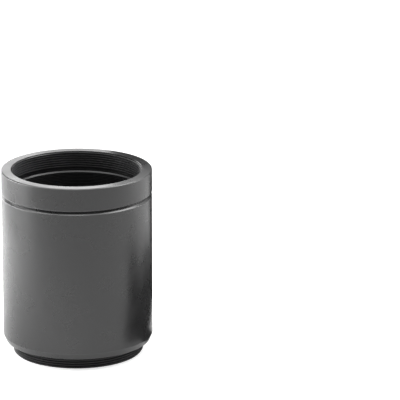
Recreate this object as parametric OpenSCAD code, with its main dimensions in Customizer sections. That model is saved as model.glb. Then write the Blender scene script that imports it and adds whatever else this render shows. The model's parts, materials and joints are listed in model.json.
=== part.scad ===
// Camera teleconverter for the 42 mm screw mount: a turned tube with a lens cell near its front.
// It stands on its rear end. +Z runs along the optical axis to the front, and Z = 0 is the rear end face.
// Lengths are in millimetres. Screw threads are plain cylinders at their working diameter.

/* [Mount thread] */
// Nominal diameter of the thread at both ends
mount_thread_d = 42; // [38:0.1:46]
// Pitch of that thread
mount_thread_pitch = 0.75; // [0.5:0.05:1]

/* [Front ring] */
// Height of the front ring above the seam
front_ring_h = 8; // [7.5:0.1:12]
// How far the front ring stands proud of the barrel
front_ring_step = 0.05; // [0.05:0.05:0.6]
// Depth of the internal thread below the rim
front_thread_depth = 5.4; // [4:0.1:6]
// Height of the relief groove under the thread
relief_h = 1.2; // [0.8:0.1:2]
// Depth of the relief groove behind the thread
relief_depth = 1.5; // [0.8:0.1:2]
// How far the stop shoulder stands inside the thread
stop_lip = 0.2; // [0.1:0.05:0.6]
// Chamfer on the edge of the stop shoulder
stop_chamfer = 0.4; // [0.1:0.05:0.8]
// Wall of the spigot that screws into the barrel
front_spigot_wall = 2.1; // [1.5:0.1:3]
// Length of that spigot below the seam
front_spigot_l = 4.2; // [3:0.1:7]
// Chamfer on the rim's outer edge
rim_chamfer = 0.25; // [0.1:0.05:0.6]
// Lead-in chamfer inside the rim
rim_lead_in = 0.45; // [0.2:0.05:1.2]

/* [Barrel] */
// Length of the barrel from its foot to the seam
barrel_l = 48.6; // [44:0.1:70]
// Wall of the barrel round the front spigot
barrel_wall = 1.55; // [0.9:0.05:3]
// Chamfer on both edges of the seam, which makes it a V groove
seam_chamfer = 0.7; // [0.2:0.05:1]
// Height of the tapered foot
foot_taper_h = 2; // [0.5:0.1:4]
// How far the foot draws in
foot_taper = 0.9; // [0.2:0.05:1.2]
// Width of the ledge that carries the lens cell
cell_ledge = 1.65; // [1.2:0.05:2.2]

/* [Rear ring] */
// Length of the external thread below the barrel
rear_thread_l = 3.9; // [3:0.1:6]
// Chamfer at the thread's free end
rear_thread_chamfer = 0.5; // [0.2:0.05:0.8]
// Height of the undercut between the thread and the barrel
undercut_h = 0.7; // [0.4:0.1:1.2]
// Depth of that undercut
undercut_depth = 0.5; // [0.3:0.05:0.8]
// How far the spigot in the barrel stands outside the thread
rear_spigot_step = 1; // [0.6:0.1:1.3]
// Length of that spigot
rear_spigot_l = 5; // [3:0.1:8]
// Wall of the rear ring inside its thread
rear_ring_wall = 2.3; // [1.8:0.1:3]
// Chamfer on both ends of the rear ring's bore
rear_bore_chamfer = 0.4; // [0.2:0.1:0.8]
// Width of the pair of key slots in the rear ring
key_slot_w = 2; // [1:0.1:4]
// Depth of those slots into the end face
key_slot_depth = 1.2; // [0.5:0.1:2]
// Wall left between a key slot and the thread
key_slot_wall = 1; // [0.7:0.1:1.4]

/* [Lens cell] */
// Thickness of the flange that sits on the ledge
cell_flange_t = 1.3; // [0.8:0.1:3]
// Length of each land that fits the barrel's bore
cell_land_l = 4; // [2:0.1:6]
// Wall of the waist between the lands
cell_wall = 2.6; // [1.2:0.1:4]
// Thickness of the web that the glass seats on
cell_web_t = 1.1; // [0.6:0.1:3]
// Width of that web inside the front element's edge
cell_web_w = 1.3; // [1:0.1:3]
// Width of the flat rim round the stepped dish
dish_rim = 0.6; // [0.2:0.1:2]
// Width of the flat floor of the dish
dish_floor = 0.7; // [0.2:0.1:2]
// Steps from the rim of the dish to its floor
dish_steps = 4; // [2:1:8]
// Distance of a retainer's end below the end of the cell
retainer_recess = 0.4; // [0.1:0.1:1]

/* [Glass] */
// Distance from the front rim to the first glass surface
glass_depth = 18.5; // [16:0.1:24]
// Diameter of the front element
front_element_d = 28; // [27:0.1:29]
// Centre thickness of the front element
front_element_t = 1.8; // [1:0.1:4]
// Radius of the front element's hollow front surface
front_element_r1 = 84.6; // [40:0.1:200]
// Radius of the front element's hollow rear surface
front_element_r2 = 28.2; // [24:0.1:80]
// Diameter of the second and rear elements
rear_glass_d = 31; // [30:0.1:32]
// Centre thickness of the second element
second_element_t = 1.6; // [1:0.1:4]
// Radius of the second element's hollow front surface
second_element_r = 70; // [40:0.1:200]
// Radius of the cemented surface
cemented_r = 36; // [26:0.1:80]
// How much smaller the third element's diameter is than the second's
third_element_step = 0.6; // [0.2:0.1:1]
// Centre thickness of the third element
third_element_t = 5.4; // [5:0.1:8]
// Radius of the third element's rounded rear surface
third_element_r = 200; // [100:1:400]
// Air gap between the third and rear elements
rear_air_gap = 0.9; // [0.3:0.1:3]
// Centre thickness of the rear element
rear_element_t = 4.4; // [4:0.1:8]
// Radius of both surfaces of the rear element
rear_element_r = 80.4; // [70:0.1:200]
// Width of the flat ground round each hollow surface
glass_flat = 0.9; // [0.5:0.05:1.2]

/* [Rings and stops] */
// Height of the lock ring that holds the cell in the barrel
lock_ring_h = 1.4; // [1:0.1:3]
// Width of the lock ring
lock_ring_w = 3.1; // [2.4:0.1:4]
// How far a retainer's thread stands outside the glass bore
retainer_step = 0.7; // [0.4:0.1:1.2]
// Height of the front retainer
front_retainer_h = 1.8; // [1.2:0.1:3]
// Height of the rear retainer
rear_retainer_h = 2.6; // [1.5:0.1:4]
// Bevel inside each slotted ring
retainer_bevel = 0.6; // [0.2:0.1:0.8]
// Width of the spanner slots in a slotted ring
spanner_slot_w = 1.6; // [0.8:0.1:3]
// Depth of the spanner slots
spanner_slot_depth = 0.8; // [0.4:0.1:1]
// Wall of the spacer, and seat of the rear retainer, on rounded glass
glass_seat = 1.1; // [0.8:0.1:2]
// Thickness of the flare stop on the web
flare_stop_t = 0.3; // [0.2:0.05:1]
// How far the flare stop stands inside the web
flare_stop_lip = 0.5; // [0.2:0.1:2]
// Thickness of the shim under the lens cell's flange
shim_t = 0.2; // [0.1:0.05:0.6]
// Thickness of the light mask above the rear ring
mask_t = 0.4; // [0.2:0.1:1]
// How far the light mask stands inside the rear ring's bore
mask_lip = 1.5; // [0.3:0.1:3]

/* [Light baffle] */
// Wall of the baffle sleeve between its ribs
baffle_wall = 0.8; // [0.4:0.1:1.2]
// Height of a rib
baffle_rib_h = 0.8; // [0.3:0.1:1.2]
// Distance between ribs
baffle_pitch = 1.6; // [1:0.1:3]

/* [Fits] */
// Radial clearance of screwed and sliding fits
fit_clearance = 0.05; // [0.02:0.01:0.15]
// Radial clearance of the glass in the cell
glass_clearance = 0.05; // [0.02:0.01:0.1]
// Film between the cemented elements, and play at rounded glass
glass_film = 0.02; // [0.01:0.01:0.05]
// Length of a retainer's thread past the glass
thread_runout = 0.4; // [0.2:0.1:0.8]

/* [Hidden] */

// Smoothness of turned pieces and of ground glass
turned_fn = 144;
glass_fn = 400;
// Height of a 60 degree internal thread, in pitches, on both walls
thread_height_share = 1.0825;
// Room past a face for a clean cut
over = 1;

// Radii from the mount thread outwards
male_r = mount_thread_d / 2;
female_r = male_r - thread_height_share * mount_thread_pitch / 2;
stop_r = female_r - stop_lip;
front_spigot_r = stop_r + front_spigot_wall;
front_socket_r = front_spigot_r + fit_clearance;
barrel_r = front_socket_r + barrel_wall;
front_ring_r = barrel_r + front_ring_step;
barrel_bore_r = front_socket_r - cell_ledge;
rear_spigot_r = male_r + rear_spigot_step;
rear_socket_r = rear_spigot_r + fit_clearance;
rear_bore_r = male_r - rear_ring_wall;

// Radii of the lens cell, from the glass outwards
front_glass_r = front_element_d / 2;
rear_glass_r = rear_glass_d / 2;
third_glass_r = rear_glass_r - third_element_step / 2;
front_glass_bore_r = front_glass_r + glass_clearance;
rear_glass_bore_r = rear_glass_r + glass_clearance;
front_retainer_r = front_glass_bore_r + retainer_step;
rear_retainer_r = rear_glass_bore_r + retainer_step;
web_r = front_glass_r - cell_web_w;
front_hollow_r = front_glass_r - glass_flat;
second_hollow_r = rear_glass_r - glass_flat;
rear_seat_r = rear_glass_r - glass_seat;
cell_land_r = barrel_bore_r - fit_clearance;
cell_flange_r = front_socket_r - fit_clearance;
lock_ring_bore_r = front_spigot_r - lock_ring_w;
cell_waist_r = rear_glass_bore_r + cell_wall;
land_slope = cell_land_r - cell_waist_r;

// Heights of the body
foot_z = rear_thread_l;
seam_z = foot_z + barrel_l;
rim_z = seam_z + front_ring_h;
thread_end_z = rim_z - front_thread_depth;
stop_z = thread_end_z - relief_h;
lock_ring_top_z = seam_z - front_spigot_l;
flange_top_z = lock_ring_top_z - lock_ring_h;
flange_z = flange_top_z - cell_flange_t;
ledge_z = flange_z - shim_t;
rear_ring_top_z = foot_z + rear_spigot_l;
rear_step_z = rear_ring_top_z + mask_t;

// Heights of the glass, from the front element down
front_vertex_z = rim_z - glass_depth;
front_flat_z = front_vertex_z + sag(front_element_r1, front_hollow_r);
front_back_z = front_vertex_z - front_element_t;
front_back_flat_z = front_back_z - sag(front_element_r2, front_hollow_r);
web_top_z = front_back_flat_z - flare_stop_t;
web_z = web_top_z - cell_web_t;
second_vertex_z = web_z - sag(second_element_r, second_hollow_r);
cemented_z = second_vertex_z - second_element_t;
third_vertex_z = cemented_z - glass_film;
third_back_z = third_vertex_z - third_element_t;
rear_vertex_z = third_back_z - rear_air_gap;
rear_back_z = rear_vertex_z - rear_element_t;
spacer_top_z = third_back_z + sag(third_element_r, rear_seat_r) - glass_film;
spacer_z = rear_vertex_z - sag(rear_element_r, rear_seat_r) + glass_film;
rear_retainer_top_z = rear_back_z + sag(rear_element_r, rear_seat_r) - glass_film;
rear_retainer_z = rear_retainer_top_z - rear_retainer_h;
front_retainer_top_z = front_flat_z + front_retainer_h;
dish_z = front_retainer_top_z + retainer_recess;
cell_end_z = rear_retainer_z - retainer_recess;

// Depth of a sphere's cap of radius r_cap
function sag(r_sphere, r_cap) = r_sphere - sqrt(r_sphere * r_sphere - r_cap * r_cap);

// A solid turned about the optical axis from a half profile of [radius, height] points
module turned(profile) {
    rotate_extrude($fn = turned_fn) polygon(profile);
}

// A plain ring between two heights
module ring(r_out, r_in, z_low, z_high) {
    turned([[r_in, z_low], [r_out, z_low], [r_out, z_high], [r_in, z_high]]);
}

// A ground sphere that touches the axis at z_vertex, bulging up or down from there
module ground_sphere(r, z_vertex, up) {
    translate([0, 0, up ? z_vertex - r : z_vertex + r]) sphere(r = r, $fn = glass_fn);
}

// A plain disc between two heights
module disc(r, z_low, z_high) {
    translate([0, 0, z_low]) cylinder(r = r, h = z_high - z_low, $fn = turned_fn);
}

// A straight slot across a ring's end face, from z_low up
module cross_slot(w, depth, length, z_low) {
    translate([-length / 2, -w / 2, z_low]) cube([length, w, depth]);
}

module barrel() {
    color([0.16, 0.16, 0.17]) turned([
        [front_socket_r, seam_z],
        [barrel_r - seam_chamfer, seam_z],
        [barrel_r, seam_z - seam_chamfer],
        [barrel_r, foot_z + foot_taper_h],
        [barrel_r - foot_taper, foot_z],
        [rear_socket_r, foot_z],
        [rear_socket_r, rear_step_z],
        [barrel_bore_r, rear_step_z],
        [barrel_bore_r, ledge_z],
        [front_socket_r, ledge_z]
    ]);
}

module front_ring() {
    color([0.18, 0.18, 0.19]) turned([
        [female_r + rim_lead_in, rim_z],
        [front_ring_r - rim_chamfer, rim_z],
        [front_ring_r, rim_z - rim_chamfer],
        [front_ring_r, seam_z + seam_chamfer],
        [front_ring_r - seam_chamfer, seam_z],
        [front_spigot_r, seam_z],
        [front_spigot_r, lock_ring_top_z],
        [stop_r, lock_ring_top_z],
        [stop_r, stop_z - stop_chamfer],
        [stop_r + stop_chamfer, stop_z],
        [female_r + relief_depth, stop_z],
        [female_r + relief_depth, thread_end_z],
        [female_r, thread_end_z],
        [female_r, rim_z - rim_lead_in]
    ]);
}

module rear_ring() {
    color([0.1, 0.1, 0.11]) difference() {
        turned([
            [rear_bore_r + rear_bore_chamfer, 0],
            [male_r - rear_thread_chamfer, 0],
            [male_r, rear_thread_chamfer],
            [male_r, foot_z - undercut_h],
            [male_r - undercut_depth, foot_z - undercut_h],
            [male_r - undercut_depth, foot_z],
            [rear_spigot_r, foot_z],
            [rear_spigot_r, rear_ring_top_z],
            [rear_bore_r + rear_bore_chamfer, rear_ring_top_z],
            [rear_bore_r, rear_ring_top_z - rear_bore_chamfer],
            [rear_bore_r, rear_bore_chamfer]
        ]);
        // Two key slots, stopped short of the thread
        intersection() {
            cross_slot(key_slot_w, key_slot_depth + over, mount_thread_d, -over);
            disc(male_r - key_slot_wall, -over, key_slot_depth + over);
        }
    }
}

module lens_cell() {
    dish_r = lock_ring_bore_r - dish_rim;
    dish_floor_r = front_retainer_r + fit_clearance + dish_floor;
    dish_step_w = (dish_r - dish_floor_r) / dish_steps;
    dish_step_h = (flange_top_z - dish_z) / dish_steps;
    front_thread_r = front_retainer_r + fit_clearance;
    rear_thread_r = rear_retainer_r + fit_clearance;
    outside = [
        [cell_flange_r, flange_top_z],
        [cell_flange_r, flange_z],
        [cell_land_r, flange_z],
        [cell_land_r, flange_z - cell_land_l],
        [cell_waist_r, flange_z - cell_land_l - land_slope],
        [cell_waist_r, cell_end_z + cell_land_l + land_slope],
        [cell_land_r, cell_end_z + cell_land_l],
        [cell_land_r, cell_end_z]
    ];
    inside = [
        [rear_thread_r, cell_end_z],
        [rear_thread_r, rear_retainer_top_z + thread_runout],
        [rear_glass_bore_r, rear_retainer_top_z + thread_runout],
        [rear_glass_bore_r, web_z],
        [web_r, web_z],
        [web_r, web_top_z],
        [front_glass_bore_r, web_top_z],
        [front_glass_bore_r, front_flat_z - thread_runout],
        [front_thread_r, front_flat_z - thread_runout],
        [front_thread_r, dish_z]
    ];
    // Light-trap steps from the floor of the dish up to its rim
    dish = [
        for (i = [0 : dish_steps - 1])
            let (r = dish_floor_r + i * dish_step_w, z = dish_z + i * dish_step_h)
                each [[r, z], [r, z + dish_step_h]]
    ];
    color([0.13, 0.13, 0.14]) turned(concat(outside, inside, dish));
}

module register_shim() {
    color([0.72, 0.6, 0.3]) ring(cell_flange_r, barrel_bore_r, ledge_z, flange_z);
}

module lock_ring() {
    color([0.12, 0.12, 0.13]) difference() {
        turned([
            [lock_ring_bore_r, flange_top_z],
            [front_spigot_r, flange_top_z],
            [front_spigot_r, lock_ring_top_z],
            [lock_ring_bore_r + retainer_bevel, lock_ring_top_z],
            [lock_ring_bore_r, lock_ring_top_z - retainer_bevel]
        ]);
        // Spanner slots, at right angles to those of the retainer below
        rotate([0, 0, 90]) intersection() {
            cross_slot(spanner_slot_w, spanner_slot_depth + over, front_spigot_r * 2,
                lock_ring_top_z - spanner_slot_depth);
            disc(stop_r, flange_top_z, lock_ring_top_z + over);
        }
    }
}

module front_retainer() {
    color([0.11, 0.11, 0.12]) difference() {
        turned([
            [front_hollow_r, front_flat_z],
            [front_retainer_r, front_flat_z],
            [front_retainer_r, front_retainer_top_z],
            [front_hollow_r + retainer_bevel, front_retainer_top_z],
            [front_hollow_r, front_retainer_top_z - retainer_bevel]
        ]);
        cross_slot(spanner_slot_w, spanner_slot_depth + over, front_element_d * 2,
            front_retainer_top_z - spanner_slot_depth);
    }
}

module front_element() {
    color([0.6, 0.72, 0.78, 0.5]) difference() {
        disc(front_glass_r, front_back_flat_z, front_flat_z);
        ground_sphere(front_element_r1, front_vertex_z, false);
        ground_sphere(front_element_r2, front_back_z, true);
    }
}

module flare_stop() {
    color([0.05, 0.05, 0.05]) ring(front_glass_r, web_r - flare_stop_lip, web_top_z, front_back_flat_z);
}

module second_element() {
    color([0.62, 0.74, 0.72, 0.5]) difference() {
        disc(rear_glass_r, cemented_z - sag(cemented_r, third_glass_r), web_z);
        ground_sphere(second_element_r, second_vertex_z, false);
        ground_sphere(cemented_r, cemented_z, true);
    }
}

module third_element() {
    color([0.7, 0.7, 0.62, 0.5]) intersection() {
        disc(third_glass_r, third_back_z - over, third_vertex_z + over);
        ground_sphere(cemented_r, third_vertex_z, true);
        ground_sphere(third_element_r, third_back_z, false);
    }
}

module element_spacer() {
    color([0.08, 0.08, 0.08]) ring(rear_glass_r, rear_seat_r, spacer_z, spacer_top_z);
}

module rear_element() {
    color([0.6, 0.7, 0.8, 0.5]) intersection() {
        disc(rear_glass_r, rear_back_z - over, rear_vertex_z + over);
        ground_sphere(rear_element_r, rear_vertex_z, true);
        ground_sphere(rear_element_r, rear_back_z, false);
    }
}

module rear_retainer() {
    color([0.11, 0.11, 0.12]) difference() {
        turned([
            [rear_seat_r + retainer_bevel, rear_retainer_z],
            [rear_retainer_r, rear_retainer_z],
            [rear_retainer_r, rear_retainer_top_z],
            [rear_seat_r, rear_retainer_top_z],
            [rear_seat_r, rear_retainer_z + retainer_bevel]
        ]);
        cross_slot(spanner_slot_w, spanner_slot_depth + over, rear_glass_d * 2, rear_retainer_z - over);
    }
}

module baffle_sleeve() {
    sleeve_l = cell_end_z - rear_step_z;
    root_r = cell_land_r - baffle_wall;
    ribs = max(1, floor(sleeve_l / baffle_pitch));
    rib_l = sleeve_l / ribs;
    // Pointed ribs, each with a root below and a tip half a pitch up
    ribbed = [
        for (i = [0 : ribs - 1])
            each [[root_r, rear_step_z + i * rib_l], [root_r - baffle_rib_h, rear_step_z + (i + 0.5) * rib_l]]
    ];
    color([0.05, 0.05, 0.05]) turned(concat(
        ribbed,
        [[root_r, cell_end_z], [cell_land_r, cell_end_z], [cell_land_r, rear_step_z]]
    ));
}

module light_mask() {
    color([0.05, 0.05, 0.05]) ring(rear_spigot_r, rear_bore_r - mask_lip, rear_ring_top_z, rear_step_z);
}

barrel();
front_ring();
rear_ring();
lens_cell();
register_shim();
lock_ring();
front_retainer();
front_element();
flare_stop();
second_element();
third_element();
element_spacer();
rear_element();
rear_retainer();
baffle_sleeve();
light_mask();
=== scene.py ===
import json
import math
from collections import Counter

import bmesh
import bpy
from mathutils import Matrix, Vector


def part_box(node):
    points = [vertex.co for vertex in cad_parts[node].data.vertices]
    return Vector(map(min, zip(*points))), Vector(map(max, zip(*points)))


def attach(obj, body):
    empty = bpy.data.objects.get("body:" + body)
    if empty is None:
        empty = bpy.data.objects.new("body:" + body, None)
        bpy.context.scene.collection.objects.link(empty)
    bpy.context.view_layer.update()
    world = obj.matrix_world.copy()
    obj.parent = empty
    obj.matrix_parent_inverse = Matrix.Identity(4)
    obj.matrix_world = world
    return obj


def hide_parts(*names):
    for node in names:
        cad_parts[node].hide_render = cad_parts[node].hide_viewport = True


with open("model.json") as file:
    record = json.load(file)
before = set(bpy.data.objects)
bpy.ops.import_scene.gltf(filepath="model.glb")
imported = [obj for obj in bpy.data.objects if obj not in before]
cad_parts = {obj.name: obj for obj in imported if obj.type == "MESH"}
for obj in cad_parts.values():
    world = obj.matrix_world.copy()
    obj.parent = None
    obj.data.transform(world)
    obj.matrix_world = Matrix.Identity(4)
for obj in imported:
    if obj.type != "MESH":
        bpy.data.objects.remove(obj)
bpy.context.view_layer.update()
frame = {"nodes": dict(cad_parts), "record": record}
mm = 0.001
fullTurn = 2 * math.pi
mountOf = {mount["name"]: mount for mount in frame["record"]["mounts"]}
print("frame loaded:", len(frame["nodes"]), "nodes")

# Camera, fitted to the photograph's 400 x 400 frame
photoView = {
    "place": (0.0, -1.1078, 0.3739),
    "yaw": 2.041,       # degrees to the right of +Y
    "pitch": 16.309,    # degrees below the horizon
    "lens": 324.0,
    "sensor": 36.0,
}
cameraData = bpy.data.cameras.new("photoView")
cameraData.lens = photoView["lens"]
cameraData.sensor_width = photoView["sensor"]
camera = bpy.data.objects.new("photoView", cameraData)
camera.location = photoView["place"]
camera.rotation_euler = (math.radians(90 - photoView["pitch"]), 0, -math.radians(photoView["yaw"]))
bpy.context.scene.collection.objects.link(camera)
bpy.context.scene.camera = camera
print("camera set")


# Node helpers, for shader and geometry trees alike
def addNode(tree, kind, inputs=None, **settings):
    node = tree.nodes.new(kind)
    for key, value in settings.items():
        setattr(node, key, value)
    for socket, value in (inputs or {}).items():
        if isinstance(value, bpy.types.NodeSocket):
            tree.links.new(value, node.inputs[socket])
        else:
            node.inputs[socket].default_value = value
    return node


def calc(tree, operation, *values):
    return addNode(tree, "ShaderNodeMath", dict(enumerate(values)), operation=operation).outputs[0]


def mapRange(tree, value, low, high, toLow, toHigh):
    sockets = {"Value": value, "From Min": low, "From Max": high, "To Min": toLow, "To Max": toHigh}
    return addNode(tree, "ShaderNodeMapRange", sockets).outputs["Result"]


# Geometry Nodes helpers
def newTree(name, sockets):
    tree = bpy.data.node_groups.new(name, "GeometryNodeTree")
    for label, kind in sockets.items():
        tree.interface.new_socket(label, in_out="INPUT", socket_type="NodeSocket" + kind)
    tree.interface.new_socket("Geometry", in_out="OUTPUT", socket_type="NodeSocketGeometry")
    return tree, tree.nodes.new("NodeGroupInput").outputs


def endTree(tree, geometry, material):
    real = addNode(tree, "GeometryNodeRealizeInstances", {"Geometry": geometry})
    dressed = addNode(tree, "GeometryNodeSetMaterial", {
        "Geometry": real.outputs[0],
        "Material": material,
    })
    addNode(tree, "NodeGroupOutput", {"Geometry": dressed.outputs[0]})


def runTree(tree, values, startMesh=None):
    # a throwaway object carries the tree, and its result comes back as a plain mesh
    carrier = bpy.data.objects.new("carrier", startMesh or bpy.data.meshes.new("carrier"))
    bpy.context.scene.collection.objects.link(carrier)
    modifier = carrier.modifiers.new(tree.name, "NODES")
    modifier.node_group = tree
    for item in tree.interface.items_tree:
        if item.in_out == "INPUT" and item.name in values:
            modifier[item.identifier] = values[item.name]
    evaluated = carrier.evaluated_get(bpy.context.evaluated_depsgraph_get())
    mesh = bpy.data.meshes.new_from_object(evaluated)
    bpy.data.objects.remove(carrier)
    return mesh


# Turned pieces: the half section is read off the CAD solid, its edges are broken and it goes round Z
turning = {
    "segments": 288,
    "edgeBreak": 0.07 * mm,     # how far every edge is broken back
    "arcSteps": 3,
    "hold": 1.7,                # where the plain side starts again, in edge breaks
    "sameCorner": 0.004 * mm,
    "sameLine": 0.01,           # sine of the bend below which a corner is only a point on a side
    "sideShare": 1 / 4,         # the most of a side that a broken edge may take
    "ringShare": 1 / 4,         # a side found less often than this share of the most is a slot's own
    "weld": 0.001 * mm,
    "sharpAngle": 32,           # degrees
}


def profileOf(node):
    # corner circles in order round the half section, with the outer wall going up
    mesh = frame["nodes"][node].data
    corners, cornerOf = [], []
    for vertex in mesh.vertices:
        point = Vector((math.hypot(vertex.co.x, vertex.co.y), vertex.co.z))
        known = [i for i, c in enumerate(corners) if (c - point).length < turning["sameCorner"]]
        if not known:
            known = [len(corners)]
            corners.append(point)
        cornerOf.append(known[0])
    sides = Counter()
    for face in mesh.polygons:
        ring = [cornerOf[v] for v in face.vertices]
        sides.update(frozenset(pair) for pair in zip(ring, ring[1:] + ring[:1]) if pair[0] != pair[1])
    often = max(sides.values()) * turning["ringShare"]
    nextTo = {}
    for side, count in sides.items():
        if count >= often:
            a, b = side
            nextTo.setdefault(a, []).append(b)
            nextTo.setdefault(b, []).append(a)
    walk = [next(iter(nextTo))]
    while len(walk) < len(nextTo):
        walk.append(next(c for c in nextTo[walk[-1]] if c not in walk))
    points = [corners[c] for c in walk]
    legs = [(b - a).normalized() for a, b in zip(points, points[1:] + points[:1])]
    points = [p for i, p in enumerate(points) if abs(legs[i - 1].cross(legs[i])) > turning["sameLine"]]
    area = sum(a.cross(b) for a, b in zip(points, points[1:] + points[:1]))
    return points if area > 0 else points[::-1]


def brokenEdges(profile, closed=True, edgeBreak=turning["edgeBreak"]):
    # rows of (radius, height, outer edge or not), with a small curve in place of each corner
    rows = []
    for i, corner in enumerate(profile):
        if not closed and i in (0, len(profile) - 1):
            rows.append((corner.x, corner.y, 0.0))
            continue
        back = profile[i - 1] - corner
        ahead = profile[(i + 1) % len(profile)] - corner
        reach = min(edgeBreak, min(back.length, ahead.length) * turning["sideShare"])
        back, ahead = back.normalized() * reach, ahead.normalized() * reach
        outer = float(ahead.cross(back) > 0)
        curve = [corner + back * turning["hold"]]
        for step in range(turning["arcSteps"] + 1):
            s = step / turning["arcSteps"]
            curve.append(corner + back * (1 - s) ** 2 + ahead * s ** 2)
        curve.append(corner + ahead * turning["hold"])
        marks = [0.0] + [outer] * (turning["arcSteps"] + 1) + [0.0]
        rows += [(p.x, p.y, mark) for p, mark in zip(curve, marks)]
    return rows


def turnRows(name, rows, closed=True):
    segments = turning["segments"]
    vertices, marks, rings = [], [], []
    for radius, height, mark in rows:
        first = len(vertices)
        around = segments if radius > turning["sameCorner"] else 1      # a pole is one vertex
        for j in range(around):
            turn = fullTurn * j / segments
            vertices.append((radius * math.cos(turn), radius * math.sin(turn), height))
        marks += [mark] * around
        rings.append([first + j % around for j in range(segments + 1)])
    faces = []
    for low, high in zip(rings, rings[1:] + rings[:1] * closed):
        for j in range(segments):
            quad = (low[j], low[j + 1], high[j + 1], high[j])
            faces.append(tuple(dict.fromkeys(quad)))
    mesh = bpy.data.meshes.new(name)
    mesh.from_pydata(vertices, [], faces)
    mesh.attributes.new("edge", "FLOAT", "POINT").data.foreach_set("value", marks)
    return mesh


def joined(name, meshes):
    work = bmesh.new()
    for mesh in meshes:
        work.from_mesh(mesh)
    bmesh.ops.remove_doubles(work, verts=work.verts, dist=turning["weld"])
    bmesh.ops.recalc_face_normals(work, faces=work.faces)
    mesh = bpy.data.meshes.new(name)
    work.to_mesh(mesh)
    work.free()
    return mesh


def place(name, mesh, node, *materials):
    # the finished piece stands for its CAD node
    for material in materials:
        mesh.materials.append(material)
    mesh.shade_smooth()
    mesh.set_sharp_from_angle(angle=math.radians(turning["sharpAngle"]))
    piece = bpy.data.objects.new(name, mesh)
    bpy.context.scene.collection.objects.link(piece)
    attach(piece, "root")
    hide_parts(node)


# A wall with grooves in it: a screw thread where the lead is the pitch, plain rings where it is nothing
grooveSizes = [
    "Crest Radius", "Root Radius", "End Radius", "Relief Radius", "Free End", "Direction", "Length",
    "Pitch", "Lead", "Crest Flat", "Root Flat", "Side",
]
crestWear = {
    "fade": 3.0,        # how fast wear fades from the crest into the groove
    "share": 0.98,      # the part of the wall's length that wears
}


def groovedWallTree():
    sockets = {label: "Float" for label in grooveSizes}
    sockets.update({"Segments": "Int", "Rows Per Groove": "Int", "Material": "Material"})
    tree, size = newTree("groovedWall", sockets)
    turns = calc(tree, "DIVIDE", calc(tree, "ADD", size["Length"], size["Lead"]), size["Pitch"])
    rows = calc(tree, "MULTIPLY", calc(tree, "CEIL", turns), size["Rows Per Groove"])
    grid = addNode(tree, "GeometryNodeMeshGrid", {
        "Size X": 1.0,
        "Size Y": 1.0,
        "Vertices X": calc(tree, "ADD", size["Segments"], 1.0),
        "Vertices Y": calc(tree, "ADD", rows, 2.0),
    })
    start = tree.nodes.new("GeometryNodeInputPosition").outputs[0]
    spot = addNode(tree, "ShaderNodeSeparateXYZ", {0: start})
    turn = calc(tree, "ADD", spot.outputs["X"], 0.5)
    row = calc(tree, "MULTIPLY", calc(tree, "ADD", spot.outputs["Y"], 0.5), calc(tree, "ADD", rows, 1.0))
    # rows follow the helix, and stop at both ends of the wall
    climb = calc(tree, "MULTIPLY", size["Lead"], turn)
    along = calc(tree, "MULTIPLY", calc(tree, "DIVIDE", row, size["Rows Per Groove"]), size["Pitch"])
    ahead = calc(tree, "MAXIMUM", calc(tree, "SUBTRACT", along, climb), 0.0)
    depth = calc(tree, "MINIMUM", ahead, size["Length"])
    # flat crest, straight flank, flat root
    phase = calc(tree, "DIVIDE", calc(tree, "ADD", depth, climb), size["Pitch"])
    wave = calc(tree, "MULTIPLY", calc(tree, "PINGPONG", phase, 0.5), 2.0)
    rootAt = calc(tree, "SUBTRACT", 1.0, size["Root Flat"])
    form = mapRange(tree, wave, size["Crest Flat"], rootAt, 0.0, 1.0)
    cut = calc(tree, "MULTIPLY", form, calc(tree, "SUBTRACT", size["Root Radius"], size["Crest Radius"]))
    groove = calc(tree, "MULTIPLY", calc(tree, "ADD", size["Crest Radius"], cut), size["Side"])
    # the chamfer at the free end cuts across the grooves
    slope = calc(tree, "MULTIPLY", depth, size["Side"])
    chamfer = calc(tree, "MULTIPLY", calc(tree, "ADD", size["End Radius"], slope), size["Side"])
    wall = calc(tree, "MULTIPLY", calc(tree, "MINIMUM", groove, chamfer), size["Side"])
    # one row past the wall reaches the relief
    isRelief = calc(tree, "GREATER_THAN", row, calc(tree, "ADD", rows, 0.5))
    radius = mapRange(tree, isRelief, 0.0, 1.0, wall, size["Relief Radius"])
    angle = calc(tree, "MULTIPLY", calc(tree, "MULTIPLY", turn, -fullTurn), size["Direction"])
    height = calc(tree, "ADD", size["Free End"], calc(tree, "MULTIPLY", depth, size["Direction"]))
    target = addNode(tree, "ShaderNodeCombineXYZ", {
        "X": calc(tree, "MULTIPLY", radius, calc(tree, "COSINE", angle)),
        "Y": calc(tree, "MULTIPLY", radius, calc(tree, "SINE", angle)),
        "Z": height,
    })
    # crests wear, but not where the wall meets the plain parts
    worn = calc(tree, "POWER", calc(tree, "SUBTRACT", 1.0, form), crestWear["fade"])
    half = calc(tree, "MULTIPLY", size["Length"], 0.5)
    inside = calc(tree, "COMPARE", depth, half, calc(tree, "MULTIPLY", half, crestWear["share"]))
    marked = addNode(tree, "GeometryNodeStoreNamedAttribute", {
        "Geometry": grid.outputs["Mesh"],
        "Name": "edge",
        "Value": calc(tree, "MULTIPLY", worn, inside),
    }, data_type="FLOAT", domain="POINT")
    shaped = addNode(tree, "GeometryNodeSetPosition", {
        "Geometry": marked.outputs[0],
        "Position": target.outputs[0],
    })
    closedUp = addNode(tree, "GeometryNodeMergeByDistance", {
        "Geometry": shaped.outputs[0],
        "Distance": turning["weld"],
    })
    endTree(tree, closedUp.outputs[0], size["Material"])
    return tree


groovedWall = groovedWallTree()


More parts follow.
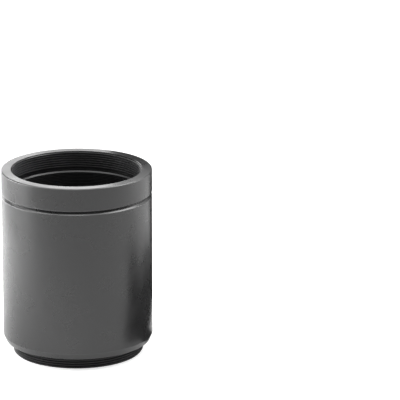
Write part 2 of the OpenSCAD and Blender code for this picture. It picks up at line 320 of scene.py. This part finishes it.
def groovedPiece(name, node, walls, material, edgeBreak=turning["edgeBreak"]):
    # a wall's corners come out of the section, and its grooves go between the corners next to them
    profile = profileOf(node)
    wallAt = []
    for p in profile:
        wallAt.append(next((w for w in walls if abs(p.x - w["radius"]) < turning["sameCorner"]), None))
    first = next(i for i in range(len(profile)) if wallAt[i - 1] and not wallAt[i])
    order = [(first + i) % len(profile) for i in range(len(profile))]
    chains, gaps = [[]], []
    for i in order:
        if not wallAt[i]:
            chains[-1].append(profile[i])
        elif chains[-1]:
            gaps.append(wallAt[i])
            chains.append([])
    chains.pop()
    meshes = [turnRows(name, brokenEdges(chain, False, edgeBreak), closed=False) for chain in chains]
    for i, wall in enumerate(gaps):
        free, relief = chains[i][-1], chains[(i + 1) % len(chains)][0]
        side = math.copysign(1.0, wall["radius"] - free.x)      # +1 outside a piece, -1 inside a bore
        meshes.append(runTree(groovedWall, {
            "Crest Radius": wall["radius"],
            "Root Radius": wall["radius"] - side * wall["depth"],
            "End Radius": free.x,
            "Relief Radius": relief.x,
            "Free End": free.y,
            "Direction": math.copysign(1.0, relief.y - free.y),
            "Length": abs(relief.y - free.y),
            "Pitch": wall["pitch"],
            "Lead": wall["lead"],
            "Crest Flat": wall["crestFlat"],
            "Root Flat": wall["rootFlat"],
            "Side": side,
            "Segments": turning["segments"],
            "Rows Per Groove": wall["rows"],
            "Material": material,
        }))
    return joined(name, meshes)


# Slots cut into a ring's end face, evenly spaced
def slottedRingTree():
    sockets = {"Geometry": "Geometry", "Slots": "Int", "Material": "Material"}
    slotSizes = ("Width", "Length", "Depth", "Middle", "Height", "Turn")
    sockets.update({label: "Float" for label in slotSizes})
    tree, size = newTree("slottedRing", sockets)
    index = tree.nodes.new("GeometryNodeInputIndex").outputs[0]
    step = calc(tree, "DIVIDE", fullTurn, size["Slots"])
    angle = calc(tree, "ADD", calc(tree, "MULTIPLY", index, step), size["Turn"])
    spot = addNode(tree, "ShaderNodeCombineXYZ", {
        "X": calc(tree, "MULTIPLY", size["Middle"], calc(tree, "COSINE", angle)),
        "Y": calc(tree, "MULTIPLY", size["Middle"], calc(tree, "SINE", angle)),
        "Z": size["Height"],
    })
    points = addNode(tree, "GeometryNodePoints", {"Count": size["Slots"], "Position": spot.outputs[0]})
    cutterSize = addNode(tree, "ShaderNodeCombineXYZ", {
        "X": size["Length"],
        "Y": size["Width"],
        "Z": size["Depth"],
    })
    cutter = addNode(tree, "GeometryNodeMeshCube", {"Size": cutterSize.outputs[0]})
    copies = addNode(tree, "GeometryNodeInstanceOnPoints", {
        "Points": points.outputs[0],
        "Instance": cutter.outputs["Mesh"],
        "Rotation": addNode(tree, "ShaderNodeCombineXYZ", {"Z": angle}).outputs[0],
    })
    cutters = addNode(tree, "GeometryNodeRealizeInstances", {"Geometry": copies.outputs[0]})
    cut = addNode(tree, "GeometryNodeMeshBoolean", {
        "Mesh 1": size["Geometry"],
        "Mesh 2": cutters.outputs[0],
    }, operation="DIFFERENCE", solver="EXACT")
    endTree(tree, cut.outputs["Mesh"], size["Material"])
    return tree


slottedRing = slottedRingTree()


def slotted(mesh, slots, faceHeight, material):
    # the cutters stand as far out of the end face as they go into it
    return runTree(slottedRing, {
        "Slots": slots["count"],
        "Width": slots["width"],
        "Length": slots["outer"] - slots["inner"],
        "Depth": 2 * slots["depth"],
        "Middle": (slots["inner"] + slots["outer"]) / 2,
        "Height": faceHeight,
        "Turn": math.radians(slots["turn"]),
        "Material": material,
    }, mesh)


print("tools ready")


# Finishes
def newFinish(name):
    material = bpy.data.materials.new(name)
    material.use_nodes = True
    tree = material.node_tree
    return material, tree, tree.nodes["Principled BSDF"]


def objectPoint(tree):
    return tree.nodes.new("ShaderNodeTexCoord").outputs["Object"]


def halfSection(tree, point):
    # distance from the optical axis, and height
    xyz = addNode(tree, "ShaderNodeSeparateXYZ", {0: point}).outputs
    flat = addNode(tree, "ShaderNodeCombineXYZ", {"X": xyz["X"], "Y": xyz["Y"]}).outputs[0]
    radius = addNode(tree, "ShaderNodeVectorMath", {0: flat}, operation="LENGTH").outputs["Value"]
    return addNode(tree, "ShaderNodeCombineXYZ", {"X": radius, "Y": xyz["Z"]}).outputs[0]


noiseSpan = (0.3, 0.7)      # most of a noise texture's values lie in it


def noise(tree, vector, featureSize, detail=2.0, dimensions="3D"):
    sockets = {"Vector": vector, "Scale": 1 / featureSize, "Detail": detail}
    return addNode(tree, "ShaderNodeTexNoise", sockets, noise_dimensions=dimensions).outputs["Fac"]


def shades(tree, value, colour, amounts, span=(0.0, 1.0)):
    # from a darker to a lighter shade of one colour
    ramp = addNode(tree, "ShaderNodeValToRGB", {"Fac": value})
    for stop, amount, spot in zip(ramp.color_ramp.elements, amounts, span):
        stop.position = spot
        stop.color = (*[c * amount for c in colour], 1)
    return ramp.outputs[0]


def roughen(tree, shader, value, look):
    low, high = look["rough"] - look["roughSpread"], look["rough"] + look["roughSpread"]
    tree.links.new(mapRange(tree, value, *noiseSpan, low, high), shader.inputs["Roughness"])


def emboss(tree, shader, height):
    bump = addNode(tree, "ShaderNodeBump", {"Height": height, "Strength": 1.0, "Distance": 1.0})
    tree.links.new(bump.outputs[0], shader.inputs["Normal"])


def anodised(name, look):
    # dyed oxide over turned aluminium: fine tool lines, a blasted tooth, and pale metal where edges rub
    material, tree, shader = newFinish(name)
    point = objectPoint(tree)
    lines = noise(tree, halfSection(tree, point), look["lineSize"], detail=3.0, dimensions="2D")
    tooth = noise(tree, point, look["toothSize"])
    clouds = noise(tree, point, look["cloudSize"], detail=4.0)
    edge = addNode(tree, "ShaderNodeAttribute", attribute_name="edge").outputs["Fac"]
    patches = noise(tree, point, look["rubSize"], detail=3.0)
    rubs = mapRange(tree, patches, *noiseSpan, look["leastRub"], 1.0)
    wear = calc(tree, "MULTIPLY", calc(tree, "MULTIPLY", edge, rubs), look["wear"])
    shade = calc(tree, "ADD", calc(tree, "MULTIPLY", clouds, look["cloudShare"]),
                 calc(tree, "MULTIPLY", tooth, 1 - look["cloudShare"]))
    dye = shades(tree, shade, look["colour"], (1 - look["mottle"], 1 + look["mottle"]), noiseSpan)
    # the Mix node's colour sockets: 0 factor, 6 and 7 the two colours, 2 the result
    mixed = {0: wear, 6: dye, 7: (*look["bare"], 1)}
    blend = addNode(tree, "ShaderNodeMix", mixed, data_type="RGBA")
    tree.links.new(blend.outputs[2], shader.inputs["Base Color"])
    tree.links.new(calc(tree, "MULTIPLY", wear, look["bareMetal"]), shader.inputs["Metallic"])
    roughen(tree, shader, clouds, look)
    emboss(tree, shader, calc(tree, "ADD", calc(tree, "MULTIPLY", lines, look["lineDepth"]),
                              calc(tree, "MULTIPLY", tooth, look["toothDepth"])))
    shader.inputs["IOR"].default_value = look["ior"]
    shader.inputs["Anisotropic"].default_value = look["brushed"]
    roundAxis = addNode(tree, "ShaderNodeTangent", direction_type="RADIAL", axis="Z")
    tree.links.new(roundAxis.outputs[0], shader.inputs["Tangent"])
    return material


satinBlack = {
    "colour": (0.008, 0.008, 0.0083),
    "bare": (0.55, 0.55, 0.56),
    "rough": 0.29,
    "roughSpread": 0.05,
    "ior": 1.67,
    "brushed": 0.25,
    "mottle": 0.10,
    "cloudShare": 0.6,      # of the mottling, the rest is tooth
    "wear": 0.06,
    "leastRub": 0.2,
    "bareMetal": 0.9,
    "lineSize": 0.09 * mm,
    "lineDepth": 0.0012 * mm,
    "toothSize": 0.16 * mm,
    "toothDepth": 0.002 * mm,
    "cloudSize": 9 * mm,
    "rubSize": 5 * mm,
}
# the front ring's thread: rougher and less reflective than the outside satin, as painted shade inside
# the opening; the rear thread starts from it
threadBlack = dict(satinBlack, colour=(0.016, 0.016, 0.017), rough=0.42, wear=0.05, mottle=0.15, ior=1.5)
leadInBlack = dict(satinBlack, colour=(0.006, 0.006, 0.0063), rough=0.22, ior=1.38)
leadInBlack["toothDepth"] = 0.001 * mm
rearBlack = dict(threadBlack, colour=(0.011, 0.011, 0.0115), rough=0.5, ior=1.43)
cellBlack = dict(satinBlack, colour=(0.018, 0.018, 0.019), rough=0.55, brushed=0.1, wear=0.1, ior=1.45)
ringBlack = dict(satinBlack, colour=(0.02, 0.02, 0.021), rough=0.45, wear=0.1, lineSize=0.14 * mm)
barrelFinish = anodised("satinBlackBarrel", satinBlack)
frontFinish = anodised("satinBlackFrontRing", satinBlack)
threadShadeFinish = anodised("blackFrontThreadShade", threadBlack)
leadInFinish = anodised("smoothBlackLeadIn", leadInBlack)
rearFinish = anodised("blackRearThread", rearBlack)
cellFinish = anodised("mattBlackCell", cellBlack)
ringFinish = anodised("blackSlottedRings", ringBlack)

flatBlack = {
    "colour": (0.007, 0.007, 0.0075),
    "shades": (0.7, 1.4),
    "rough": 0.85,
    "roughSpread": 0.1,
    "gloss": 0.15,
    "grainSize": 0.12 * mm,
    "grainDepth": 0.006 * mm,
    "patchSize": 3.6 * mm,
}


def flatPaint(name, look):
    material, tree, shader = newFinish(name)
    point = objectPoint(tree)
    grain = noise(tree, point, look["grainSize"], detail=3.0)
    patches = noise(tree, point, look["patchSize"], detail=3.0)
    tree.links.new(shades(tree, patches, look["colour"], look["shades"]), shader.inputs["Base Color"])
    roughen(tree, shader, grain, look)
    emboss(tree, shader, calc(tree, "MULTIPLY", grain, look["grainDepth"]))
    shader.inputs["Specular IOR Level"].default_value = look["gloss"]
    return material


# flat black paint: the stops' own colour, and painted shade in the front ring's bore
stopPaintAndBoreShade = flatPaint("flatBlackPaintAndBoreShade", flatBlack)
baffleFinish = flatPaint("flatBlackBaffle", dict(flatBlack, colour=(0.02, 0.02, 0.021), gloss=0.3))
glassEdge = flatPaint("blackenedGlassEdge", dict(flatBlack, colour=(0.014, 0.014, 0.015), rough=0.6))

rolledBrass = {
    "colour": (0.62, 0.46, 0.2),
    "shades": (0.8, 1.1),
    "rough": 0.3,
    "roughSpread": 0.08,
    "lineSize": 0.2 * mm,
    "lineStretch": (0.05, 1.0, 1.0),    # rolling marks run along X
}


def brassShim(name, look):
    material, tree, shader = newFinish(name)
    sockets = {"Vector": objectPoint(tree), "Scale": look["lineStretch"]}
    stretched = addNode(tree, "ShaderNodeMapping", sockets).outputs[0]
    lines = noise(tree, stretched, look["lineSize"], detail=3.0)
    tree.links.new(shades(tree, lines, look["colour"], look["shades"]), shader.inputs["Base Color"])
    roughen(tree, shader, lines, look)
    shader.inputs["Metallic"].default_value = 1.0
    return material


shimFinish = brassShim("rolledBrass", rolledBrass)

clearGlass = {
    "ior": 1.62,
    "filmIor": 1.38,
    "dustSize": 0.25 * mm,
    "dustSpan": (0.62, 0.8),    # the noise values that count as dust
    "haze": 0.12,
}


def coatedGlass(name, look):
    # clear glass with one quarter-wave film; a trace of dust keeps the surface from being perfect
    material, tree, shader = newFinish(name)
    dust = noise(tree, objectPoint(tree), look["dustSize"])
    haze = mapRange(tree, dust, *look["dustSpan"], 0.0, look["haze"])
    tree.links.new(haze, shader.inputs["Roughness"])
    shader.inputs["Base Color"].default_value = (*look["tint"], 1)
    shader.inputs["Transmission Weight"].default_value = 1.0
    shader.inputs["IOR"].default_value = look["ior"]
    shader.inputs["Thin Film Thickness"].default_value = look["film"]
    shader.inputs["Thin Film IOR"].default_value = look["filmIor"]
    return material


frontCoat = dict(clearGlass, tint=(0.97, 0.985, 0.98), film=105.0)
innerCoat = dict(clearGlass, tint=(0.98, 0.98, 0.965), film=125.0, ior=1.58, haze=0.05)
innerCoat["dustSize"] = 0.3 * mm
rearCoat = dict(clearGlass, tint=(0.97, 0.98, 0.99), film=140.0)
frontGlassFinish = coatedGlass("coatedFrontGlass", frontCoat)
innerGlassFinish = coatedGlass("coatedInnerGlass", innerCoat)
rearGlassFinish = coatedGlass("coatedRearGlass", rearCoat)
print("finishes ready")

# Front ring: internal mount thread, and fine light-trap rings in the bore below the stop
mountThread = {"pitch": 0.75 * mm, "lead": 0.75 * mm, "rows": 16}
frontThread = dict(
    mountThread,
    radius=mountOf["front_thread"]["dims"]["r_mm"] * mm,
    depth=0.406 * mm,
    crestFlat=1 / 4,        # shares of the pitch
    rootFlat=1 / 8,
)
lightTrap = {
    "radius": min(p.x for p in profileOf("front_ring")),
    "pitch": 0.5 * mm,
    "lead": 0.0,
    "depth": 0.16 * mm,
    "crestFlat": 0.2,
    "rootFlat": 0.2,
    "rows": 10,
}
frontEdge = 0.14 * mm       # the front ring's edges are broken further than the others
frontWalls = [frontThread, lightTrap]
frontRing = groovedPiece("frontMountRing", "front_ring", frontWalls, frontFinish, frontEdge)
# satin outside; a duller black in the thread and its relief and flat black in the bore, painted shade
# for the inside of the opening; a smooth cut on the lead-in
frontProfile = profileOf("front_ring")
threadSpan = [p.y for p in frontProfile if abs(p.x - frontThread["radius"]) < turning["sameCorner"]]
boreTop = max(p.y for p in frontProfile if p.x < lightTrap["radius"] + turning["sameCorner"])
stopTop = max(p.y for p in frontProfile if p.y < min(threadSpan))
rimTop = max(p.y for p in frontProfile)
leadInRadius = min(p.x for p in frontProfile if p.y == rimTop)
reliefRadius = max(p.x for p in frontProfile if p.y == stopTop)
for face in frontRing.polygons:
    radius, height = math.hypot(*face.center[:2]), face.center.z
    if radius > reliefRadius + frontEdge:
        continue
    # the thread and its relief take the duller finish as painted shade
    if stopTop - turning["edgeBreak"] < height < max(threadSpan):
        face.material_index = 1
    # the bore below the thread takes the flat black paint as painted shade
    elif height < boreTop:
        face.material_index = 2
    elif radius < leadInRadius and height > max(threadSpan):
        face.material_index = 3
place("frontMountRing", frontRing, "front_ring", frontFinish, threadShadeFinish, stopPaintAndBoreShade, leadInFinish)

# Rear ring: external mount thread and two key slots in its end face
rearThread = dict(
    mountThread,
    radius=mountOf["rear_thread"]["dims"]["r_mm"] * mm,
    depth=0.46 * mm,
    crestFlat=1 / 8,
    rootFlat=1 / 4,
)
keySlots = {
    "count": 2,
    "width": 2 * mm,
    "depth": 1.2 * mm,
    "inner": 17 * mm,
    "outer": 20 * mm,
    "turn": 0,
}
rearRing = groovedPiece("rearMountRing", "rear_ring", [rearThread], rearFinish)
rearRing = slotted(rearRing, keySlots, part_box("rear_ring")[0].z, rearFinish)
place("rearMountRing", rearRing, "rear_ring")

# Slotted rings that hold the cell and the glass
spannerSlots = {"count": 2, "width": 1.6 * mm, "depth": 0.8 * mm}
slottedRings = {        # radii of each slot, its angle, and the end of the ring that it is in
    "lock_ring": dict(
        spannerSlots, name="cellLockRing", inner=18 * mm, outer=20.394 * mm, turn=90, end=1,
    ),
    "front_retainer": dict(
        spannerSlots, name="frontGlassRetainer", inner=12 * mm, outer=16 * mm, turn=0, end=1,
    ),
    "rear_retainer": dict(
        spannerSlots, name="rearGlassRetainer", inner=13 * mm, outer=18 * mm, turn=0, end=0,
    ),
}
for node, slots in slottedRings.items():
    ring = turnRows(slots["name"], brokenEdges(profileOf(node)))
    ring = slotted(ring, slots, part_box(node)[slots["end"]].z, ringFinish)
    place(slots["name"], ring, node)

# Plain turned pieces
plainPieces = {
    "barrel": ("barrelTube", barrelFinish),
    "lens_cell": ("lensCell", cellFinish),
    "register_shim": ("registerShim", shimFinish),
    "flare_stop": ("flareStop", stopPaintAndBoreShade),
    "element_spacer": ("glassSpacer", stopPaintAndBoreShade),
    "baffle_sleeve": ("ribbedBaffle", baffleFinish),
    "light_mask": ("lightMask", stopPaintAndBoreShade),
}
for node, (name, finish) in plainPieces.items():
    place(name, turnRows(name, brokenEdges(profileOf(node))), node, finish)
print("turned pieces ready")

# Glass: each surface is (radius of curvature, width of the ground flat), and a hollow one is negative
glassSet = {
    "front_element": {
        "name": "frontGlass", "front": (-84.6, 0.9), "rear": (-28.2, 0.9), "finish": frontGlassFinish,
    },
    "second_element": {
        "name": "secondGlass", "front": (-70.0, 0.9), "rear": (-36.0, 0.3), "finish": innerGlassFinish,
    },
    "third_element": {
        "name": "thirdGlass", "front": (36.0, 0.0), "rear": (200.0, 0.0), "finish": innerGlassFinish,
    },
    "rear_element": {
        "name": "rearGlass", "front": (80.4, 0.0), "rear": (80.4, 0.0), "finish": rearGlassFinish,
    },
}
surfaceRings = 24
rimSlope = 0.5      # a face is the ground rim where its normal rises less than this


def glassSurface(surface, rim, end, outward):
    # points from the rim to the axis; outward is +1 for the front side and -1 for the rear
    curve, flat = surface[0] * mm, surface[1] * mm
    clear = rim - flat

    def sag(r):
        return abs(curve) - math.sqrt(curve * curve - r * r)

    vertex = end - outward * sag(clear) if curve < 0 else end
    bend = 1 if curve < 0 else -1
    points = [Vector((rim, end))] if flat else []
    for i in range(surfaceRings + 1):
        r = clear * (1 - i / surfaceRings)
        points.append(Vector((r, vertex + outward * bend * sag(r))))
    return points


for node, glass in glassSet.items():
    low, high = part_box(node)
    front = glassSurface(glass["front"], high.x, high.z, 1)
    rear = glassSurface(glass["rear"], high.x, low.z, -1)
    rows = [(p.x, p.y, 0.0) for p in rear[::-1] + front]
    mesh = turnRows(glass["name"], rows, closed=False)
    polished = high.x - max(glass["front"][1], glass["rear"][1]) * mm
    for face in mesh.polygons:
        ground = math.hypot(*face.center[:2]) > polished or abs(face.normal.z) < rimSlope
        face.material_index = int(ground)
    place(glass["name"], mesh, node, glass["finish"], glassEdge)
print("glass ready")

# Stage: pale floor, white surroundings, soft lamps and dark cards
studio = {
    "floorSize": 4.0,
    "floorDrop": 0.03 * mm,
    "floorColour": (0.6, 0.6, 0.6),
    "floorLift": 0.3,           # white that only the camera and reflections see
    "floorWhite": 0.35,         # more white for the camera
    "ambient": 0.3,
}
softLamps = {
    "backdrop": {"place": (-0.45, 1.2, 0.45), "size": (1.4, 0.9), "power": 8.5},
    "upperRight": {"place": (0.52, 0.06, 0.70), "size": (0.5, 0.45), "power": 4.6},
    "upperLeft": {"place": (-0.38, 0.0, 0.76), "size": (0.32, 0.5), "power": 2.0},
    "overhead": {"place": (0.0, -0.2, 0.85), "size": (0.45, 0.5), "power": 2.4},
    "leftSide": {"place": (-0.15, 0.05, 0.075), "size": (0.24, 0.11), "power": 0.66},
    "rightSide": {"place": (0.27, 0.05, 0.09), "size": (0.12, 0.08), "power": 0.21},
}
shadeCards = {      # dark cards that only reflections see
    "besideCard": {"place": (0.088, -0.007, 0.001), "size": (0.104, 0.038), "upright": False},
    "footCard": {"place": (0.0315, 0.003, 0.001), "size": (0.0135, 0.018), "upright": False},
    "cornerCard": {"place": (0.078, 0.049, 0.001), "size": (0.080, 0.074), "upright": False},
    "behindCard": {"place": (0.03675, 0.050, 0.042), "size": (0.0505, 0.084), "upright": True},
    "lowBehindCard": {"place": (-0.00925, 0.050, 0.034), "size": (0.0415, 0.068), "upright": True},
    "upperLeftCard": {"place": (-0.083, 0.060, 0.108), "size": (0.075, 0.084), "upright": True},
    "aboveCard": {"place": (-0.0225, 0.060, 0.1225), "size": (0.045, 0.055), "upright": True},
}
# only its shadow counts: it keeps the left side lamp out of the bore
boreFlag = {"place": (-0.030, 0.0, 0.072), "size": (0.056, 0.017)}
cardColour = (0.01, 0.01, 0.01)
lampAim = Vector((0, 0, 0.03))


def seenWhite(tree):
    # 1 for the camera, reflections and what glass shows, 0 for diffuse light
    path = tree.nodes.new("ShaderNodeLightPath").outputs
    seen = calc(tree, "MAXIMUM", path["Is Camera Ray"], path["Is Glossy Ray"])
    return calc(tree, "MAXIMUM", seen, path["Is Transmission Ray"])


def makeWorld():
    world = bpy.data.worlds.new("whiteRoom")
    world.use_nodes = True
    bpy.context.scene.world = world
    tree = world.node_tree
    background = tree.nodes["Background"]
    background.inputs["Color"].default_value = (1, 1, 1, 1)
    tree.links.new(mapRange(tree, seenWhite(tree), 0.0, 1.0, studio["ambient"], 1.0),
                   background.inputs["Strength"])


def makeFloor():
    half, z = studio["floorSize"] / 2, -studio["floorDrop"]
    mesh = bpy.data.meshes.new("floor")
    corners = [(-half, -half, z), (half, -half, z), (half, half, z), (-half, half, z)]
    mesh.from_pydata(corners, [], [(0, 1, 2, 3)])
    floor = bpy.data.objects.new("floor", mesh)
    bpy.context.scene.collection.objects.link(floor)
    material, tree, shader = newFinish("paleFloor")
    tree.nodes.remove(shader)
    paint = addNode(tree, "ShaderNodeBsdfDiffuse", {"Color": (*studio["floorColour"], 1)})
    fromCamera = tree.nodes.new("ShaderNodeLightPath").outputs["Is Camera Ray"]
    glow = calc(tree, "ADD", calc(tree, "MULTIPLY", seenWhite(tree), studio["floorLift"]),
                calc(tree, "MULTIPLY", fromCamera, studio["floorWhite"]))
    lift = addNode(tree, "ShaderNodeEmission", {"Color": (1, 1, 1, 1), "Strength": glow})
    both = addNode(tree, "ShaderNodeAddShader", {0: paint.outputs[0], 1: lift.outputs[0]})
    # one-sided, so that the underside of the object can be seen from below
    fromBelow = tree.nodes.new("ShaderNodeNewGeometry").outputs["Backfacing"]
    clear = tree.nodes.new("ShaderNodeBsdfTransparent")
    sided = addNode(tree, "ShaderNodeMixShader", {0: fromBelow, 1: both.outputs[0], 2: clear.outputs[0]})
    tree.links.new(sided.outputs[0], tree.nodes["Material Output"].inputs["Surface"])
    mesh.materials.append(material)


def makeLamps():
    for name, lamp in softLamps.items():
        data = bpy.data.lights.new(name, "AREA")
        data.shape = "RECTANGLE"
        data.size, data.size_y = lamp["size"]
        data.energy = lamp["power"]
        light = bpy.data.objects.new(name, data)
        light.location = lamp["place"]
        light.rotation_mode = "QUATERNION"
        light.rotation_quaternion = (lampAim - light.location).to_track_quat("-Z", "Y")
        light.visible_camera = False
        bpy.context.scene.collection.objects.link(light)


def addCard(name, card, across, along, material):
    middle = Vector(card["place"])
    across = Vector(across) * card["size"][0] / 2
    along = Vector(along) * card["size"][1] / 2
    corners = [
        middle - across - along,
        middle + across - along,
        middle + across + along,
        middle - across + along,
    ]
    mesh = bpy.data.meshes.new(name)
    mesh.from_pydata(corners, [], [(0, 1, 2, 3)])
    mesh.materials.append(material)
    screen = bpy.data.objects.new(name, mesh)
    screen.visible_camera = False
    screen.visible_diffuse = False
    screen.visible_transmission = False
    bpy.context.scene.collection.objects.link(screen)
    return screen


def makeCards():
    material, _, shader = newFinish("blackCard")
    shader.inputs["Base Color"].default_value = (*cardColour, 1)
    shader.inputs["Roughness"].default_value = 1.0
    for name, card in shadeCards.items():
        along = (0, 0, 1) if card["upright"] else (0, 1, 0)
        screen = addCard(name, card, (1, 0, 0), along, material)
        screen.visible_shadow = False
    flag = addCard("boreFlag", boreFlag, (0, 1, 0), (0, 0, 1), material)
    flag.visible_glossy = False


makeWorld()
makeFloor()
makeLamps()
makeCards()
bpy.context.scene.view_settings.view_transform = "Standard"
print("stage ready")
